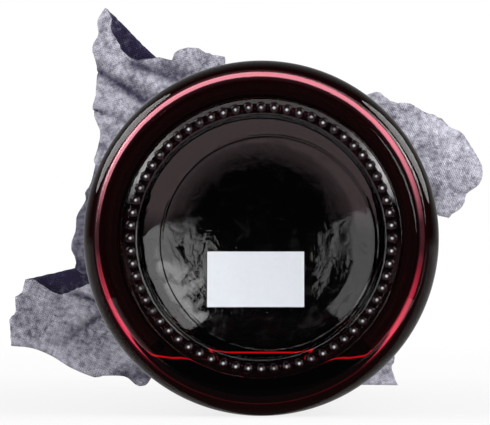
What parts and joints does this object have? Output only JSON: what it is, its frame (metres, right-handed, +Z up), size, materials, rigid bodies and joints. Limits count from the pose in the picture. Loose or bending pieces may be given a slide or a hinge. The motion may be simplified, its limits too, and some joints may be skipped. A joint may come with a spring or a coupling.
{
  "type": "glass bottle",
  "caption": "Dark ruby glass bottle lying on its side, with a pull-out wooden-headed cork, a little liquid, a blank price label and a torn cloth bow at the neck.",
  "frame": {"origin": "centre of the standing ring, on the plane of its stipple tips", "axes": "+Y up the bottle's axis from the base to the mouth, +Z up as the bottle lies, square to the liquid's surface"},
  "size_m": [0.1219, 0.3141, 0.0967],
  "materials": {
    "ruby_glass": "glossy deep ruby, black where it is thick",
    "red_liquid": "clear dark red liquid",
    "label_paper": "matt white paper, blank",
    "cork": "natural cork",
    "turned_wood": "turned dark wood, waxed",
    "ribbon_cloth": "loosely woven lavender-grey cloth with torn edges"
  },
  "bodies": {
    "bottle": {"bottle_body": "ruby_glass", "liquid": "red_liquid", "price_label": "label_paper", "ribbon_neck_band": "ribbon_cloth", "ribbon_knot": "ribbon_cloth", "ribbon_loop_left": "ribbon_cloth", "ribbon_loop_right": "ribbon_cloth", "ribbon_tail_left": "ribbon_cloth", "ribbon_tail_right": "ribbon_cloth"},
    "stopper": {"stopper_cork": "cork", "stopper_head": "turned_wood"}
  },
  "joints": [
    {"name": "stopper_pull", "type": "slide", "parent": "bottle", "child": "stopper", "axis": [0, 1, 0], "range_m": [0, 0.04]}
  ]
}
